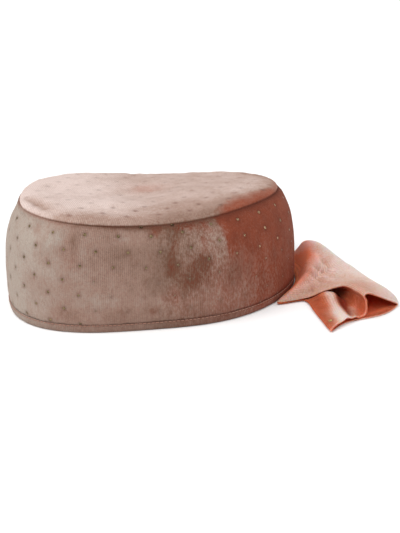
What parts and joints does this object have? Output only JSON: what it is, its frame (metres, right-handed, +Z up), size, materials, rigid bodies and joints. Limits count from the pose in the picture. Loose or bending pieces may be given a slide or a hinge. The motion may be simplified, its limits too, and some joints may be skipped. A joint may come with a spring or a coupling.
{
  "type": "velvet cap with turban tail",
  "caption": "Soft oval velvet cap with a raised top panel, a deep side band with a turned hem, and a gathered cloth tail lying open beside it.",
  "frame": {"origin": "centre of the head opening, on the plane of the rim that the cap rests on", "axes": "+X from the wearer's brow to the back, where the tail is sewn on; +Z up through the top panel; +Y to the wearer's right, away from the side that the tail is turned to"},
  "size_m": [0.2467, 0.2007, 0.078],
  "materials": {
    "velvet": "brushed velvet, dusty pink where the nap lies up and terracotta where it lies down",
    "hem_velvet": "velvet turned double and topstitched",
    "tail_velvet": "smooth velvet with a satin sheen",
    "gold_foil": "small printed foil dots on the velvet"
  },
  "bodies": {
    "root": {"side_band": "velvet", "hem_band": "hem_velvet", "crown_top": "velvet", "tail": "tail_velvet"}
  },
  "joints": []
}
